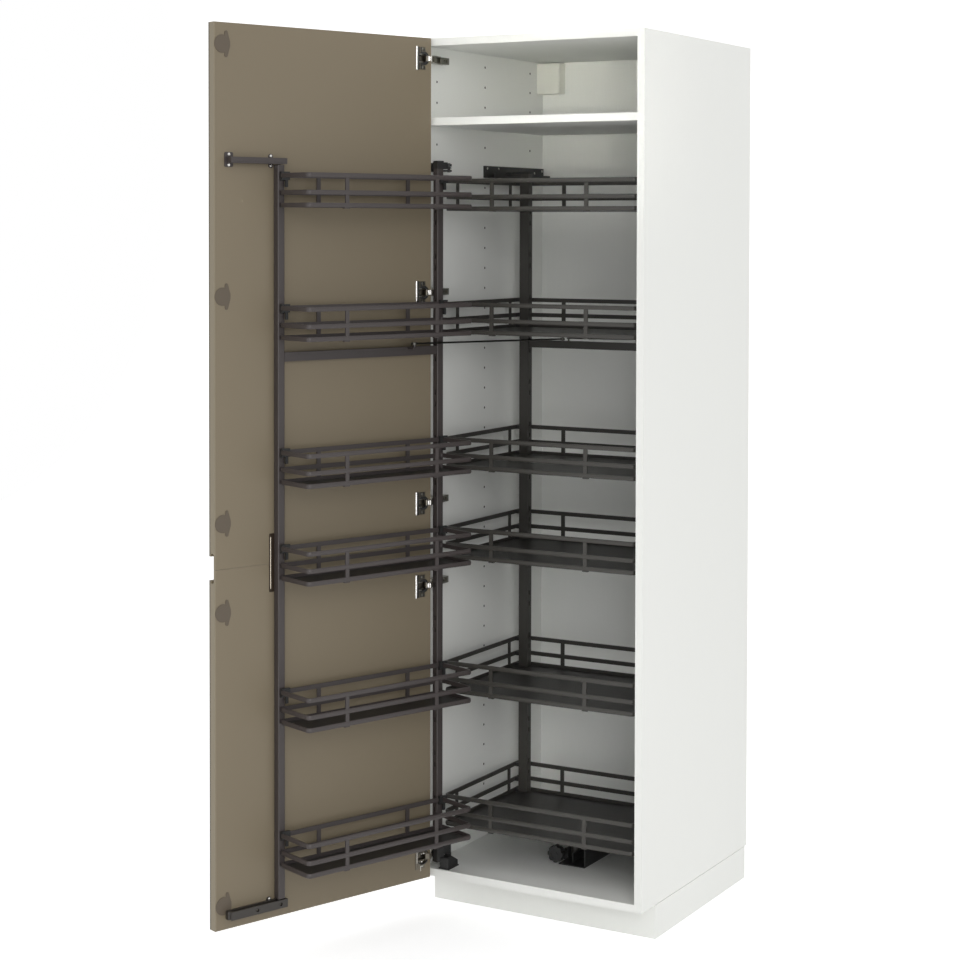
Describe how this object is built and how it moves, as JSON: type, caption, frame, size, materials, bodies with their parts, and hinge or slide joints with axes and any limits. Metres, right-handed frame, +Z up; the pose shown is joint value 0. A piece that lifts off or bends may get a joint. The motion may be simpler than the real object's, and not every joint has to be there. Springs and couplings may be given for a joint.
{
  "type": "tall kitchen cabinet with pull-out storage baskets",
  "caption": "Tall pantry cabinet with a hinged two-part door, a swing-out frame of wire baskets behind the door and a sliding rack of baskets inside.",
  "frame": {"origin": "middle of the width, on the floor, under the middle of the plinth front board; the carcass front edge is 83 mm in front of it", "axes": "+X to the right seen from the front, +Y into the cabinet, +Z up"},
  "size_m": [0.7815, 1.1732, 2.08],
  "materials": {
    "carcass_white": "satin foil on particle board",
    "white_plastic": "matte",
    "black_plastic": "matte",
    "black_steel": "matte powder coat",
    "nickel_steel": "bright nickel plate",
    "rod_steel": "satin",
    "door_beige": "matte lacquer on fibre board",
    "cap_beige": "matte",
    "joiner_bronze": "satin",
    "frame_graphite": "matte powder coat",
    "tray_graphite": "matte powder coat"
  },
  "bodies": {
    "carcass": {"side_panel_left": "carcass_white", "side_panel_right": "carcass_white", "top_panel": "carcass_white", "floor_panel": "carcass_white", "fixed_shelf": "carcass_white", "back_panel": "carcass_white", "plinth": "carcass_white", "levelling_legs": "black_plastic", "hanging_cover": "white_plastic", "hinge_arms": "nickel_steel", "floor_pivot_block": "black_plastic", "top_pivot_bracket": "black_steel", "rack_top_rail": "black_steel", "floor_guide": "black_steel", "floor_guide_knob": "black_plastic"},
    "hinge_links": {"hinge_links": "nickel_steel"},
    "door": {"door_upper": "door_beige", "door_lower": "door_beige", "hinge_cups": "nickel_steel", "hinge_hole_caps": "cap_beige", "door_joiner": "joiner_bronze", "door_rail_top": "frame_graphite", "door_rail_bottom": "frame_graphite"},
    "rail_shoes": {"rail_shoes": "black_plastic"},
    "front_frame": {"front_post_free": "frame_graphite", "front_post_pivot": "frame_graphite", "front_crossbar": "frame_graphite", "front_top_arm": "black_steel", "front_bottom_arm": "black_steel", "front_clips": "black_plastic", "front_basket_1": "frame_graphite", "front_basket_2": "frame_graphite", "front_basket_3": "frame_graphite", "front_basket_4": "frame_graphite", "front_basket_5": "frame_graphite", "front_basket_6": "frame_graphite", "front_tray_1": "tray_graphite", "front_tray_2": "tray_graphite", "front_tray_3": "tray_graphite", "front_tray_4": "tray_graphite", "front_tray_5": "tray_graphite", "front_tray_6": "tray_graphite"},
    "rear_rack": {"rack_posts": "frame_graphite", "rack_crossbar": "frame_graphite", "rack_top_carriage": "black_plastic", "rack_floor_runner": "frame_graphite", "rack_clips": "black_plastic", "rack_basket_1": "frame_graphite", "rack_basket_2": "frame_graphite", "rack_basket_3": "frame_graphite", "rack_basket_4": "frame_graphite", "rack_basket_5": "frame_graphite", "rack_basket_6": "frame_graphite", "rack_tray_1": "tray_graphite", "rack_tray_2": "tray_graphite", "rack_tray_3": "tray_graphite", "rack_tray_4": "tray_graphite", "rack_tray_5": "tray_graphite", "rack_tray_6": "tray_graphite"},
    "link_rod": {"link_rod": "rod_steel"}
  },
  "joints": [
    {"name": "hinge_link_turn", "type": "hinge", "parent": "carcass", "child": "hinge_links", "pos_m": [-0.2605, -0.0753, 0.08], "axis": [0, 0, -1], "range_deg": [0, 67.5]},
    {"name": "door_swing", "type": "hinge", "parent": "hinge_links", "child": "door", "pos_m": [-0.26028, -0.10517, 0.08], "axis": [0, 0, 1], "range_deg": [0, 177.6]},
    {"name": "shoe_slide", "type": "slide", "parent": "door", "child": "rail_shoes", "axis": [-0.3456, -0.9384, 0], "range_m": [0, 0.1162]},
    {"name": "front_frame_turn", "type": "hinge", "parent": "carcass", "child": "front_frame", "pos_m": [-0.236, -0.045, 0.098], "axis": [0, 0, 1], "range_deg": [0, 105.6]},
    {"name": "rack_slide", "type": "slide", "parent": "carcass", "child": "rear_rack", "axis": [0, 1, 0], "range_m": [0, 0.1602]},
    {"name": "link_rod_turn", "type": "hinge", "parent": "rear_rack", "child": "link_rod", "pos_m": [-0.12, 0.314, 1.352], "axis": [0, 0, 1], "range_deg": [0, 16.5]}
  ],
  "couplings": [
    {"joint": "hinge_link_turn", "follows": "door_swing", "ratio": 0.3795},
    {"joint": "shoe_slide", "follows": "door_swing", "m_per_rad": 0.037423},
    {"joint": "front_frame_turn", "follows": "door_swing", "ratio": 0.59403},
    {"joint": "rack_slide", "follows": "door_swing", "m_per_rad": 0.051618},
    {"joint": "link_rod_turn", "follows": "door_swing", "ratio": 0.092342}
  ]
}
